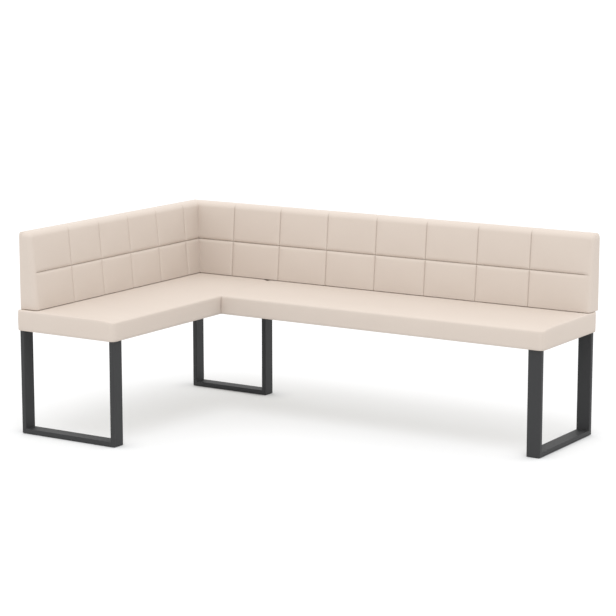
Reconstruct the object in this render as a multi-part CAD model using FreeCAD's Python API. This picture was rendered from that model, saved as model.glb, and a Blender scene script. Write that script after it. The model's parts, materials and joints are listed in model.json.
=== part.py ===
import FreeCAD, Part
import math
import os
from FreeCAD import Vector

# Corner bench: two upholstered seats in an L, two quilted backs that stand on them and
# three steel runner frames. Lengths are in millimetres. X runs right along the rear wall,
# Y runs back to that wall and Z is up. Places are worked out from the bench's left front
# floor corner, and each piece is moved to the centred frame when it is written.

# Seats
seat_length = 2050.0
short_seat_length = 1270.0
seat_depth = 505.0
seat_underside = 442.0
seat_thickness = 85.0
seat_corner_radius = 22.0
seat_inner_corner_radius = 3.0
seat_top_radius = 18.0
seat_bottom_radius = 3.0
seat_crown = 10.0
seat_crown_width = 105.0
joint_gap = 0.6
cover_thickness = 1.5
cover_flange = 28.0
cover_clearance = 0.3
side_padding = 9.0

# Wooden seat frames
rail_height = 44.0
rail_width = 30.0
bearer_width = 70.0
board_thickness = 10.0
dust_cover_thickness = 1.0
dust_cover_gap = 0.5
recess_clearance = 0.4
short_cross_rail_count = 1
long_cross_rail_count = 4

# Backs
back_height = 326.0
back_press = 3.0
back_thickness = 91.0
back_lean_angle = 5.0
short_back_setback = 28.0
long_back_setback = 4.0
back_front_radius = 24.0
back_end_radius = 14.0
back_rear_radius = 12.0
back_bottom_radius = 9.0
back_tight_radius = 4.0
back_crown = 2.0
back_crown_width = 10.0
back_board_thickness = 12.0
quilt_thickness = 14.0
quilt_wrap = 9.0
quilt_floor_wrap = 6.0
quilt_top_wrap = 17.0
rear_panel_margin = 20.0
rear_panel_gap = 0.5
back_gap = 0.3

# Quilting: upright seams counted from each back's outer end, and one level seam
long_end_panel_width = 286.5
long_panel_width = 249.4
short_end_panel_width = 255.0
short_panel_width = 207.3
level_seam_height = 155.5
seam_half_width = 12.0
seam_lift = 0.4
upright_seam_depth = 4.0
level_seam_depth = 4.8

# Steel bars that carry the backs
bar_thickness = 5.0
bar_width = 40.0
bar_lower_length = 77.0
bar_upper_length = 175.0
bar_slot_clearance = 0.5
long_bar_shares = (0.14, 0.5, 0.86)
short_bar_shares = (0.16, 0.72)
bar_screw_radius = 3.0
bar_screw_head_radius = 5.5
bar_screw_head_height = 3.0
bar_screw_inset = 10.0
bar_screw_spacing = 18.0
bar_seat_screw_length = 36.0
bar_screw_access = 6.0

# Runner frames of flat steel tube
tube_width = 60.0
tube_thickness = 20.0
tube_wall = 2.0
tube_corner_radius = 2.5
frame_inset = 11.0
corner_frame_left = 70.0
corner_frame_to_joint = 35.0
corner_frame_to_rear = 46.0
plate_thickness = 4.0
plate_length = 80.0
plate_bolt_first = 20.0
plate_bolt_spacing = 22.0
glide_radius = 15.0
glide_thickness = 2.0
glide_inset = 45.0

# Bolts that hold the frames, and bolts that join the seats
frame_bolt_radius = 4.0
frame_bolt_head_radius = 7.9
frame_bolt_length = 42.0
bolt_hole_clearance = 0.3
tee_nut_radius = 5.4
tee_nut_flange_radius = 10.0
tee_nut_flange_thickness = 1.5
tee_nut_length = 11.0
join_bolt_radius = 4.0
join_bolt_height_share = 0.5
join_bolt_shares = (0.16, 0.45, 0.72)
join_head_radius = 7.5
join_head_height = 5.5
join_nut_height = 6.5
join_bolt_spare = 2.0

# One overrun serves every cut
overrun = 10.0

# Places that follow from the sizes
seat_top = seat_underside + seat_thickness
back_bottom = seat_top - back_press
overall_height = back_bottom + back_height
rear_face = short_seat_length
long_front = short_seat_length - seat_depth
bar_setback = cover_thickness + back_board_thickness
back_rear = rear_face + bar_setback + bar_thickness
rail_bottom = seat_underside + cover_thickness
rail_top = rail_bottom + rail_height
board_top = rail_top + board_thickness
long_left = seat_depth + joint_gap / 2.0
short_right = seat_depth - joint_gap / 2.0
origin = Vector(seat_length / 2.0, back_rear / 2.0, 0.0)


def block(x0, y0, z0, x1, y1, z1):
    """Rectangular solid between two opposite corners."""
    return Part.makeBox(x1 - x0, y1 - y0, z1 - z0, Vector(x0, y0, z0))


def write(name, solids):
    """Write the solids of one node, moved so that the bench stands centred over the origin."""
    group = solids if isinstance(solids, list) else [solids]
    pieces = [piece for shape in group for piece in shape.Solids]
    shape = pieces[0] if len(pieces) == 1 else Part.makeCompound(pieces)
    shape = shape.copy()
    shape.translate(origin * -1.0)
    shape.exportStep(os.path.join("parts", name + ".step"))


def rounded_outline(corners, radii, z):
    """Closed wire at height z: straight sides joined by an arc of the given radius at each corner."""
    count = len(corners)
    starts = []
    middles = []
    ends = []
    for index, corner in enumerate(corners):
        here = Vector(corner[0], corner[1], z)
        before = corners[index - 1]
        after = corners[(index + 1) % count]
        to_before = (Vector(before[0], before[1], z) - here).normalize()
        to_after = (Vector(after[0], after[1], z) - here).normalize()
        half_angle = to_before.getAngle(to_after) / 2.0
        radius = radii[index]
        bisector = (to_before + to_after).normalize()
        run = radius / math.tan(half_angle)
        starts.append(here + to_before * run)
        ends.append(here + to_after * run)
        middles.append(here + bisector * (radius / math.sin(half_angle) - radius))
    edges = []
    for index in range(count):
        edges.append(Part.Arc(starts[index], middles[index], ends[index]).toShape())
        edges.append(Part.LineSegment(ends[index], starts[(index + 1) % count]).toShape())
    return Part.Wire(edges)


# Soft seats

# Steps along a quarter round, and how far in and how far up each step of the crown goes
round_step_shares = (0.0, 0.25, 0.5, 0.75, 1.0)
crown_step_shares = ((0.35, 0.6), (1.0, 1.0))
rear_crown_share = 0.15


def seat_outline(inset, z, rear_inset=None):
    """Outline of both seats, an L with rounded corners. The two wall sides may have their own inset."""
    wall_inset = inset if rear_inset is None else rear_inset
    left = wall_inset
    right = seat_length - inset
    front = inset
    rear = rear_face - wall_inset
    step_x = seat_depth - inset
    step_y = long_front + inset
    corners = [(left, front), (step_x, front), (step_x, step_y),
               (right, step_y), (right, rear), (left, rear)]
    convex = max(seat_corner_radius - inset, seat_bottom_radius)
    concave = seat_inner_corner_radius + inset
    return rounded_outline(corners, [convex, convex, concave, convex, convex, convex], z)


def seat_body(skin):
    """Crowned L-shaped cushion, drawn in by the thickness of skin and pressed down under the backs."""
    side_top = seat_top - seat_crown - skin
    low = seat_underside + skin
    turn = seat_top_radius - skin
    sections = [seat_outline(skin + seat_bottom_radius, low), seat_outline(skin, low + seat_bottom_radius)]
    walls = Part.makeLoft(sections, True, True)
    straight = [seat_outline(skin, low + seat_bottom_radius), seat_outline(skin, side_top - turn)]
    walls = walls.fuse(Part.makeLoft(straight, True, True))
    turns = []
    for share in round_step_shares:
        angle = share * math.pi / 2.0
        drawn_in = skin + turn * (1.0 - math.cos(angle))
        turns.append(seat_outline(drawn_in, side_top - turn * (1.0 - math.sin(angle))))
    shoulder = Part.makeLoft(turns, True, False)
    rises = [turns[-1]]
    for inward_share, upward_share in crown_step_shares:
        inward = skin + turn + inward_share * seat_crown_width
        rear_inward = skin + turn + inward_share * seat_crown_width * rear_crown_share
        rises.append(seat_outline(inward, side_top + upward_share * seat_crown, rear_inward))
    crown = Part.makeLoft(rises, True, True)
    pressed = back_bottom - skin
    reach = back_thickness + skin
    short_print = block(-overrun, short_back_setback - skin, pressed, reach, back_rear, overall_height)
    long_print = block(0.0, back_rear - reach, pressed, seat_length + overrun, back_rear, overall_height)
    return walls.fuse([shoulder, crown]).removeSplitter().cut([short_print, long_print])


def cut_short(shape, wall):
    """The short seat's share of the L, up to its joint face, drawn in by a wall."""
    keep = block(-overrun, -overrun, 0.0, short_right - wall, rear_face + overrun, overall_height)
    return shape.common(keep)


def cut_long(shape, wall):
    """The long seat's share of the L, from its joint face, drawn in by a wall."""
    right = seat_length + overrun
    keep = block(long_left + wall, -overrun, 0.0, right, rear_face + overrun, overall_height)
    return shape.common(keep)


# Places of the wooden frames: left, front, right and rear of each
wood_rear = rear_face - side_padding
short_wood = (side_padding, side_padding, short_right - side_padding, wood_rear)
long_wood = (long_left + side_padding, long_front + side_padding, seat_length - side_padding, wood_rear)

# Places of the runner frames, on the floor plan
left_frame_place = (frame_inset, frame_inset)
left_frame_width = seat_depth - 2.0 * frame_inset
corner_frame_place = (corner_frame_left, rear_face - corner_frame_to_rear - tube_width)
corner_frame_width = seat_depth - corner_frame_to_joint - corner_frame_left
right_frame_place = (seat_length - frame_inset, long_front + frame_inset)
right_frame_width = seat_depth - 2.0 * frame_inset


def upright_cylinder(x, y, z0, radius, height):
    """Cylinder that stands on height z0."""
    return Part.makeCylinder(radius, height, Vector(x, y, z0))


def turned(shape, along_y):
    """A frame is drawn along X; one that runs along Y is turned a quarter about its own corner."""
    if along_y:
        shape = shape.copy()
        shape.rotate(Vector(0.0, 0.0, 0.0), Vector(0.0, 0.0, 1.0), 90.0)
    return shape


def placed(shape, place, along_y):
    """Turn a frame's piece if needed and move it to its place on the floor plan."""
    shape = turned(shape, along_y).copy()
    shape.translate(Vector(place[0], place[1], 0.0))
    return shape


def tube(length):
    """Flat steel tube along Z, its narrow side along X and its wide side along Y."""
    outer = [(0.0, 0.0), (tube_thickness, 0.0), (tube_thickness, tube_width), (0.0, tube_width)]
    inner = [
        (tube_wall, tube_wall),
        (tube_thickness - tube_wall, tube_wall),
        (tube_thickness - tube_wall, tube_width - tube_wall),
        (tube_wall, tube_width - tube_wall),
    ]
    outer_wire = rounded_outline(outer, [tube_corner_radius] * 4, 0.0)
    inner_wire = rounded_outline(inner, [tube_corner_radius - tube_wall] * 4, 0.0)
    along = Vector(0.0, 0.0, length)
    return Part.Face(outer_wire).extrude(along).cut(Part.Face(inner_wire).extrude(along))


def side_prism(points):
    """Prism across the tube's width over an outline in X and Z."""
    vectors = [Vector(x, -overrun, z) for x, z in points]
    wire = Part.makePolygon(vectors + vectors[:1])
    return Part.Face(wire).extrude(Vector(0.0, tube_width + 2.0 * overrun, 0.0))


def left_post():
    """Left post, mitred at its foot to meet the runner."""
    post = tube(seat_underside - glide_thickness)
    post.translate(Vector(0.0, 0.0, glide_thickness))
    low = glide_thickness
    mitre = side_prism([(-overrun, low - overrun), (tube_thickness + overrun, low - overrun),
                        (tube_thickness + overrun, low + tube_thickness + overrun)])
    return post.cut(mitre)


def right_post(width):
    """Right post, the left one mirrored about the middle of the frame."""
    return left_post().mirror(Vector(width / 2.0, 0.0, 0.0), Vector(1.0, 0.0, 0.0))


def runner(width):
    """Runner on the floor with both ends mitred."""
    bar = tube(width)
    bar.rotate(Vector(0.0, 0.0, 0.0), Vector(0.0, 1.0, 0.0), 90.0)
    bar.translate(Vector(0.0, 0.0, glide_thickness + tube_thickness))
    low = glide_thickness - overrun
    high = glide_thickness + tube_thickness + overrun
    narrow = tube_thickness + overrun
    keep = side_prism([(-overrun, low), (width + overrun, low), (width - narrow, high), (narrow, high)])
    return bar.common(keep)


def plate_box(width, clearance):
    """Space of the two mounting plates that lie on the posts' tops, grown by a clearance."""
    low = seat_underside
    boxes = []
    for start in (0.0, width - plate_length):
        boxes.append(block(start - clearance, -clearance, low - clearance, start + plate_length + clearance,
                           tube_width + clearance, low + plate_thickness + clearance))
    return boxes


def bolt_places(width):
    """Floor-plan places of a frame's bolts, beside each post under the bearer."""
    places = []
    for step in (0.0, plate_bolt_spacing):
        inward = tube_thickness + plate_bolt_first + step
        places.append((inward, tube_width / 2.0))
        places.append((width - inward, tube_width / 2.0))
    return places


def frame_bolt(x, y):
    """Countersunk bolt, its head flush with the underside of the plate."""
    foot = Vector(x, y, seat_underside)
    head = Part.makeCone(frame_bolt_head_radius, frame_bolt_radius, plate_thickness, foot)
    return head.fuse(upright_cylinder(x, y, seat_underside, frame_bolt_radius, frame_bolt_length))


def bolt_hole(x, y):
    """Hole for a frame bolt with its countersink."""
    wide = frame_bolt_head_radius + bolt_hole_clearance
    narrow = frame_bolt_radius + bolt_hole_clearance
    sink = Part.makeCone(wide, narrow, plate_thickness, Vector(x, y, seat_underside))
    shaft_length = frame_bolt_length + 2.0 * overrun
    return sink.fuse(upright_cylinder(x, y, seat_underside - overrun, narrow, shaft_length))


def tee_nut_blank(x, y, clearance):
    """Outside of a tee nut let into the top of a bearer."""
    flange_low = rail_top - tee_nut_flange_thickness
    flange = upright_cylinder(x, y, flange_low - clearance, tee_nut_flange_radius + clearance,
                              tee_nut_flange_thickness + clearance)
    barrel = upright_cylinder(x, y, rail_top - tee_nut_length - clearance, tee_nut_radius + clearance,
                              tee_nut_length + clearance)
    return flange.fuse(barrel)


def tee_nut(x, y):
    """Tee nut with its bore."""
    bore = upright_cylinder(x, y, rail_top - tee_nut_length - overrun, frame_bolt_radius,
                            tee_nut_length + 2.0 * overrun)
    return tee_nut_blank(x, y, 0.0).cut(bore)


def write_frame(name, width, place, along_y):
    """All pieces of one runner frame, and the tools that make room for them in the seat."""
    write(name + "_runner", placed(runner(width), place, along_y))
    near, far = ("_front_post", "_rear_post") if along_y else ("_outer_post", "_inner_post")
    write(name + near, placed(left_post(), place, along_y))
    write(name + far, placed(right_post(width), place, along_y))
    places = bolt_places(width)
    plates = []
    for plate in plate_box(width, 0.0):
        for x, y in places:
            plate = plate.cut(bolt_hole(x, y))
        plates.append(placed(plate, place, along_y))
    write(name + "_mounting_plates", plates)
    write(name + "_bolts", [placed(frame_bolt(x, y), place, along_y) for x, y in places])
    write(name + "_tee_nuts", [placed(tee_nut(x, y), place, along_y) for x, y in places])
    glides = []
    for x in (glide_inset, width - glide_inset):
        glide = upright_cylinder(x, tube_width / 2.0, 0.0, glide_radius, glide_thickness)
        glides.append(placed(glide, place, along_y))
    write(name + "_glides", glides)
    tools = [placed(box, place, along_y) for box in plate_box(width, recess_clearance)]
    for x, y in places:
        tools.append(placed(bolt_hole(x, y), place, along_y))
        tools.append(placed(tee_nut_blank(x, y, recess_clearance), place, along_y))
    return tools


# Bars that carry the backs. Each is a flat upright bar against the back's board.

def back_point(is_long, along, out, z):
    """Point on a back: along its length, out from its outer face towards the sitter, and up."""
    if is_long:
        return Vector(along, back_rear - out, z)
    return Vector(out, along, z)


def back_block(is_long, along0, along1, out0, out1, z0, z1):
    """Rectangular solid in a back's own directions."""
    a = back_point(is_long, along0, out0, z0)
    b = back_point(is_long, along1, out1, z1)
    return block(min(a.x, b.x), min(a.y, b.y), z0, max(a.x, b.x), max(a.y, b.y), z1)


def back_cylinder(is_long, along, out, z, radius, length):
    """Cylinder that runs from the outer face towards the sitter."""
    direction = Vector(0.0, -1.0, 0.0) if is_long else Vector(1.0, 0.0, 0.0)
    return Part.makeCylinder(radius, length, back_point(is_long, along, out, z), direction)


long_back_start = back_thickness + back_gap
long_span = (long_back_start, seat_length - long_back_setback)
short_span = (short_back_setback, back_rear)


def bar_centres(is_long):
    """Places of the bars along a back, clear of the other back's seat."""
    if is_long:
        low, high = seat_depth, seat_length
        shares = long_bar_shares
    else:
        low, high = short_span
        shares = short_bar_shares
    return [low + share * (high - low) for share in shares]


def bar_box(is_long, centre, clearance):
    """Space of one bar, grown by a clearance."""
    half = bar_width / 2.0 + clearance
    out0 = bar_setback - clearance
    out1 = bar_setback + bar_thickness + clearance
    return back_block(is_long, centre - half, centre + half, out0, out1,
                      seat_top - bar_lower_length, seat_top + bar_upper_length)


def seat_screw_heights():
    """Heights of the two screws that hold a bar to the seat's rail."""
    low = seat_top - bar_lower_length + bar_screw_inset
    return [low, low + bar_screw_spacing]


def back_screw_heights():
    """Heights of the two screws that hold a bar to the back's board."""
    high = seat_top + bar_upper_length - bar_screw_inset
    return [high - 2.0 * bar_screw_spacing, high]


def seat_screw(is_long, centre, z, clearance):
    """Pan-head screw through a bar into the seat's rail. With a clearance it is the screw's hole."""
    head_out = bar_setback - bar_screw_head_height
    if clearance:
        head_out -= bar_screw_access
    head = back_cylinder(is_long, centre, head_out, z, bar_screw_head_radius + clearance,
                         bar_setback - head_out)
    shank = back_cylinder(is_long, centre, bar_setback - clearance, z, bar_screw_radius + clearance,
                          bar_seat_screw_length + clearance)
    return head.fuse(shank)


def back_screw(is_long, centre, z, clearance):
    """Countersunk screw from the outer side of the board into the bar."""
    direction = Vector(0.0, -1.0, 0.0) if is_long else Vector(1.0, 0.0, 0.0)
    start = back_point(is_long, centre, cover_thickness, z)
    head = Part.makeCone(bar_screw_head_radius + clearance, bar_screw_radius + clearance,
                         bar_screw_head_height, start, direction)
    shank = back_cylinder(is_long, centre, cover_thickness, z, bar_screw_radius + clearance,
                          back_board_thickness + bar_thickness + clearance)
    return head.fuse(shank)


def write_bars(name, is_long):
    """Bars and screws of one back. Returns the tools that make room for them."""
    bars = []
    seat_screws = []
    back_screws = []
    tools = []
    for centre in bar_centres(is_long):
        bar = bar_box(is_long, centre, 0.0)
        for z in seat_screw_heights():
            seat_screws.append(seat_screw(is_long, centre, z, 0.0))
            bar = bar.cut(seat_screws[-1])
            tools.append(seat_screw(is_long, centre, z, bolt_hole_clearance))
        for z in back_screw_heights():
            back_screws.append(back_screw(is_long, centre, z, 0.0))
            bar = bar.cut(back_screws[-1])
            tools.append(back_screw(is_long, centre, z, bolt_hole_clearance))
        bars.append(bar)
        tools.append(bar_box(is_long, centre, bar_slot_clearance))
    write(name + "_bars", bars)
    write(name + "_bar_seat_screws", seat_screws)
    write(name + "_bar_back_screws", back_screws)
    return tools


# Bolts that join the two seats

def join_bolt_places():
    """Distance along Y of the bolts that join the two seats."""
    low = long_wood[1]
    high = long_wood[3]
    return [low + share * (high - low) for share in join_bolt_shares]


def hexagon(x, y, z, radius, height):
    """Six-sided head or nut along X, its flat-to-flat half width equal to radius."""
    points = []
    for step in range(6):
        angle = math.pi / 6.0 + step * math.pi / 3.0
        reach = radius / math.cos(math.pi / 6.0)
        points.append(Vector(x, y + reach * math.cos(angle), z + reach * math.sin(angle)))
    return Part.Face(Part.makePolygon(points + points[:1])).extrude(Vector(height, 0.0, 0.0))


def join_height():
    """Height of the joining bolts."""
    return rail_bottom + join_bolt_height_share * rail_height


def join_ends():
    """Where the joining bolts' heads and nuts bear, on the inner faces of the two joined rails."""
    return short_wood[2] - rail_width, long_wood[0] + rail_width


def join_bolt(y):
    """Hexagon-head bolt through both joined rails."""
    start, end = join_ends()
    z = join_height()
    head = hexagon(start - join_head_height, y, z, join_head_radius, join_head_height)
    length = end + join_nut_height + join_bolt_spare - start
    along_x = Vector(1.0, 0.0, 0.0)
    return head.fuse(Part.makeCylinder(join_bolt_radius, length, Vector(start, y, z), along_x))


def join_nut(y):
    """Nut on the end of a joining bolt."""
    end = join_ends()[1]
    z = join_height()
    bore = Part.makeCylinder(join_bolt_radius, join_nut_height, Vector(end, y, z), Vector(1.0, 0.0, 0.0))
    return hexagon(end, y, z, join_head_radius, join_nut_height).cut(bore)


def join_hole(y):
    """Hole for a joining bolt through rails, foam skirts and covers."""
    start, end = join_ends()
    radius = join_bolt_radius + bolt_hole_clearance
    return Part.makeCylinder(radius, end - start, Vector(start, y, join_height()), Vector(1.0, 0.0, 0.0))


# Wooden frames of the seats

def cut_all(shape, tools):
    """Cut a list of tools from a shape."""
    return shape.cut(tools) if tools else shape


def spread(low, high, count):
    """Evenly spaced starts for a number of cross rails between two limits, both limits left out."""
    step = (high - low - rail_width) / (count + 1)
    return [low + step * (index + 1) for index in range(count)]


def write_short_wood(tools):
    """Side rails, bearers, cross rails and board of the short seat."""
    left, front, right, rear = short_wood
    side_rails = [
        block(left, front, rail_bottom, left + rail_width, rear, rail_top),
        block(right - rail_width, front, rail_bottom, right, rear, rail_top),
    ]
    inner_left = left + rail_width
    inner_right = right - rail_width
    corner_front = corner_frame_place[1] - (bearer_width - tube_width) / 2.0
    bearers = []
    for start in (front, corner_front):
        bearers.append(block(inner_left, start, rail_bottom, inner_right, start + bearer_width, rail_top))
    in_line = long_wood[1]
    starts = spread(front + bearer_width, in_line, short_cross_rail_count)
    starts.extend([in_line, rear - rail_width])
    cross_rails = []
    for start in starts:
        cross_rails.append(block(inner_left, start, rail_bottom, inner_right, start + rail_width, rail_top))
    board = block(left, front, rail_top, right, rear, board_top)
    write("short_seat_side_rails", [cut_all(rail, tools) for rail in side_rails])
    write("short_seat_bearers", [cut_all(bearer, tools) for bearer in bearers])
    write("short_seat_cross_rails", [cut_all(rail, tools) for rail in cross_rails])
    write("short_seat_board", cut_all(board, tools))


def write_long_wood(tools):
    """Front and rear rails, bearer, cross rails and board of the long seat."""
    left, front, right, rear = long_wood
    long_rails = [
        block(left, front, rail_bottom, right, front + rail_width, rail_top),
        block(left, rear - rail_width, rail_bottom, right, rear, rail_top),
    ]
    inner_front = front + rail_width
    inner_rear = rear - rail_width
    bearer = block(right - bearer_width, inner_front, rail_bottom, right, inner_rear, rail_top)
    starts = [left] + spread(left + rail_width, right - bearer_width, long_cross_rail_count)
    cross_rails = []
    for start in starts:
        cross_rails.append(block(start, inner_front, rail_bottom, start + rail_width, inner_rear, rail_top))
    board = block(left, front, rail_top, right, rear, board_top)
    write("long_seat_rails", [cut_all(rail, tools) for rail in long_rails])
    write("long_seat_bearer", cut_all(bearer, tools))
    write("long_seat_cross_rails", [cut_all(rail, tools) for rail in cross_rails])
    write("long_seat_board", cut_all(board, tools))


def wood_block(wood):
    """Space of a seat's rails and board, kept free of foam."""
    return block(wood[0], wood[1], 0.0, wood[2], wood[3], board_top)


def flange_opening(left, front, right, rear, margin):
    """Opening in the underside of a cover, inside its turned-under edge."""
    low = seat_underside - overrun
    high = rail_bottom
    inset = cover_flange + margin
    return block(left + inset, front + inset, low, right - inset, rear - inset, high)


def write_seat_softs(tools):
    """Covers, foams and dust covers of both seats."""
    outer = seat_body(0.0)
    cavity = seat_body(cover_thickness)
    filling = seat_body(cover_thickness + cover_clearance)
    wall = cover_thickness
    short_limits = (0.0, 0.0, short_right, rear_face)
    long_limits = (long_left, long_front, seat_length, rear_face)
    parts_of_bench = (
        ("short_seat", cut_short, short_wood, short_limits),
        ("long_seat", cut_long, long_wood, long_limits),
    )
    for name, cut_side, wood, limits in parts_of_bench:
        cover = cut_side(outer, 0.0).cut(cut_side(cavity, wall)).cut(flange_opening(*limits, 0.0))
        write(name + "_cover", cut_all(cover, tools))
        foam = cut_side(filling, wall + cover_clearance).cut(wood_block(wood))
        write(name + "_foam", cut_all(foam, tools))
        sheet = flange_opening(*limits, dust_cover_gap)
        low = rail_bottom - dust_cover_thickness
        sheet = sheet.common(block(limits[0], limits[1], low, limits[2], limits[3], rail_bottom))
        write(name + "_dust_cover", cut_all(sheet, tools))


# Backs

def lean_at(z):
    """How far the leaning front face has moved back at a height, counted from the foot."""
    return (z - back_bottom) * math.tan(math.radians(back_lean_angle))


def face_point(is_long, along, depth, z):
    """Point at a depth under the leaning front face of a back."""
    return back_point(is_long, along, back_thickness - lean_at(z) - depth, z)


def back_outline(is_long, front_inset, rear_inset, end_inset, z):
    """Plan outline of a back, its edges drawn in separately at front, rear and ends.
    The long back's inner end follows the lean of the short back that it butts against."""
    low, high = long_span if is_long else short_span
    start = low + end_inset[0]
    end = high - end_inset[1]
    near = back_thickness - lean_at(z) - front_inset
    far = rear_inset
    if is_long:
        start -= lean_at(z)
        front = back_rear - near
        rear = back_rear - far
        corners = [(start, front), (end, front), (end, rear), (start, rear)]
        turn_radii = [back_tight_radius, back_end_radius, back_rear_radius, back_tight_radius]
        drawn_in = [0.0, front_inset, rear_inset, 0.0]
    else:
        corners = [(far, start), (near, start), (near, end), (far, end)]
        turn_radii = [back_tight_radius, back_end_radius, back_rear_radius, back_rear_radius]
        drawn_in = [rear_inset, front_inset, rear_inset, rear_inset]
    least = back_tight_radius / 2.0
    radii = [max(radius - inset, least) for radius, inset in zip(turn_radii, drawn_in)]
    return rounded_outline(corners, radii, z)


# How much of the front's rounding each end of a back has at top and bottom
long_end_turn_shares = (0.0, 0.6)
short_end_turn_shares = (0.6, 0.5)


def back_body(is_long):
    """Outer form of a back, rounded at top and bottom, its top gently crowned."""
    bottom = back_bottom
    top = overall_height
    end_shares = long_end_turn_shares if is_long else short_end_turn_shares

    def outline(front_inset, rear_inset, z):
        end_inset = (end_shares[0] * front_inset, end_shares[1] * front_inset)
        return back_outline(is_long, front_inset, rear_inset, end_inset, z)

    low_turn = []
    for share in round_step_shares:
        angle = share * math.pi / 2.0
        inset = back_bottom_radius * (1.0 - math.sin(angle))
        low_turn.append(outline(inset, inset, bottom + back_bottom_radius * (1.0 - math.cos(angle))))
    high_turn = []
    for share in round_step_shares:
        angle = share * math.pi / 2.0
        curl = 1.0 - math.cos(angle)
        z = top - back_crown - back_front_radius * (1.0 - math.sin(angle))
        high_turn.append(outline(back_front_radius * curl, back_rear_radius * curl, z))
    lid = outline(back_front_radius + back_crown_width, back_rear_radius + back_crown_width, top)
    body = Part.makeLoft(low_turn, True, False)
    body = body.fuse(Part.makeLoft([low_turn[-1], high_turn[0]], True, True))
    body = body.fuse(Part.makeLoft(high_turn, True, False))
    return body.fuse(Part.makeLoft([high_turn[-1], lid], True, True)).removeSplitter()


def seam_face(is_long, along, z, upright):
    """Cross-section of a sewn channel: two arcs that roll in from the surface and meet at its root."""
    seam_depth = upright_seam_depth if upright else level_seam_depth
    drop = seam_depth + seam_lift
    radius = (seam_half_width ** 2 + drop ** 2) / (2.0 * drop)
    half_angle = math.asin(seam_half_width / radius) / 2.0
    mid_width = seam_half_width - radius * math.sin(half_angle)
    mid_depth = radius * (1.0 - math.cos(half_angle)) - seam_lift

    def point(sideways, depth):
        if upright:
            return face_point(is_long, along + sideways, depth, z)
        lean = math.radians(back_lean_angle)
        out = back_thickness - lean_at(z) - sideways * math.sin(lean) - depth * math.cos(lean)
        return back_point(is_long, along, out, z + sideways * math.cos(lean) - depth * math.sin(lean))

    left = point(-seam_half_width, -seam_lift)
    right = point(seam_half_width, -seam_lift)
    root = point(0.0, seam_depth)
    edges = [
        Part.Arc(left, point(-mid_width, mid_depth), root).toShape(),
        Part.Arc(root, point(mid_width, mid_depth), right).toShape(),
        Part.LineSegment(right, point(seam_half_width, -overrun)).toShape(),
        Part.LineSegment(point(seam_half_width, -overrun), point(-seam_half_width, -overrun)).toShape(),
        Part.LineSegment(point(-seam_half_width, -overrun), left).toShape(),
    ]
    return Part.Face(Part.Wire(edges))


def upright_seams(is_long):
    """Places of the upright seams along a back, counted from its outer end."""
    places = []
    if is_long:
        place = long_span[1] - long_end_panel_width
        while place > long_span[0] + long_panel_width / 2.0:
            places.append(place)
            place -= long_panel_width
    else:
        place = short_span[0] + short_end_panel_width
        while place < back_rear - back_thickness - short_panel_width / 4.0:
            places.append(place)
            place += short_panel_width
    return places


def seam_tools(is_long):
    """All sewn channels of a back."""
    low, high = long_span if is_long else short_span
    bottom = back_bottom - overrun
    top = overall_height + overrun
    tools = []
    for along in upright_seams(is_long):
        rise = face_point(is_long, along, 0.0, top) - face_point(is_long, along, 0.0, bottom)
        tools.append(seam_face(is_long, along, bottom, True).extrude(rise))
    reach = lean_at(overall_height) + overrun
    level = seam_face(is_long, low - reach, seat_top + level_seam_height, False)
    run = high - low + reach + overrun
    tools.append(level.extrude(Vector(run, 0.0, 0.0) if is_long else Vector(0.0, run, 0.0)))
    return tools


def back_wedge(is_long, along0, along1, out0, z0, z1):
    """Solid between an upright plane and the inside of the quilting, which leans with the front face."""
    corners = [
        back_point(is_long, along0, out0, z0),
        face_point(is_long, along0, quilt_thickness, z0),
        face_point(is_long, along0, quilt_thickness, z1),
        back_point(is_long, along0, out0, z1),
    ]
    run = back_point(is_long, along1, 0.0, 0.0) - back_point(is_long, along0, 0.0, 0.0)
    return Part.Face(Part.makePolygon(corners + corners[:1])).extrude(run)


def write_back(name, is_long, tools):
    """Board, foam, quilted cover and rear cover of one back."""
    low, high = long_span if is_long else short_span
    start = low + quilt_wrap
    end = high - quilt_wrap
    bottom = back_bottom + quilt_floor_wrap
    top = overall_height - quilt_top_wrap
    body = back_body(is_long)
    for channel in seam_tools(is_long):
        body = body.cut(channel)
    cavity = back_wedge(is_long, start, end, cover_thickness, bottom, top)
    inset = rear_panel_margin
    window = back_block(is_long, start + inset, end - inset, -overrun, cover_thickness,
                        bottom + inset, top - inset)
    write(name + "_quilted_cover", cut_all(body.cut(cavity).cut(window), tools))
    board_front = cover_thickness + back_board_thickness
    board = back_block(is_long, start, end, cover_thickness, board_front, bottom, top)
    write(name + "_board", cut_all(board, tools))
    foam = back_wedge(is_long, start, end, board_front, bottom, top)
    write(name + "_foam", cut_all(foam, tools))
    margin = rear_panel_margin + rear_panel_gap
    panel = back_block(is_long, start + margin, end - margin, 0.0, cover_thickness,
                       bottom + margin, top - margin)
    write(name + "_rear_cover", panel)


def main():
    """Write every node of the bench."""
    os.makedirs("parts", exist_ok=True)
    frame_tools = write_frame("left_frame", left_frame_width, left_frame_place, False)
    frame_tools += write_frame("corner_frame", corner_frame_width, corner_frame_place, False)
    frame_tools += write_frame("right_frame", right_frame_width, right_frame_place, True)
    bar_tools = write_bars("long_back", True)
    bar_tools += write_bars("short_back", False)
    join_tools = [join_hole(y) for y in join_bolt_places()]
    write("seat_joining_bolts", [join_bolt(y) for y in join_bolt_places()])
    write("seat_joining_nuts", [join_nut(y) for y in join_bolt_places()])
    tools = frame_tools + bar_tools + join_tools
    write_short_wood(tools)
    write_long_wood(tools)
    write_seat_softs(tools)
    write_back("long_back", True, bar_tools)
    write_back("short_back", False, bar_tools)


main()
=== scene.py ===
# %% [markdown]
# # An upholstered corner bench
# The steel frames, wooden rails, boards, bars and screws come from the construction model and
# keep their shape. This lesson dresses them: it makes the padded seats, the quilted backs with
# their stitching and rear panels, gives every part its finish, and sets up the studio.

# %% Load the construction model
import json
import math

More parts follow.
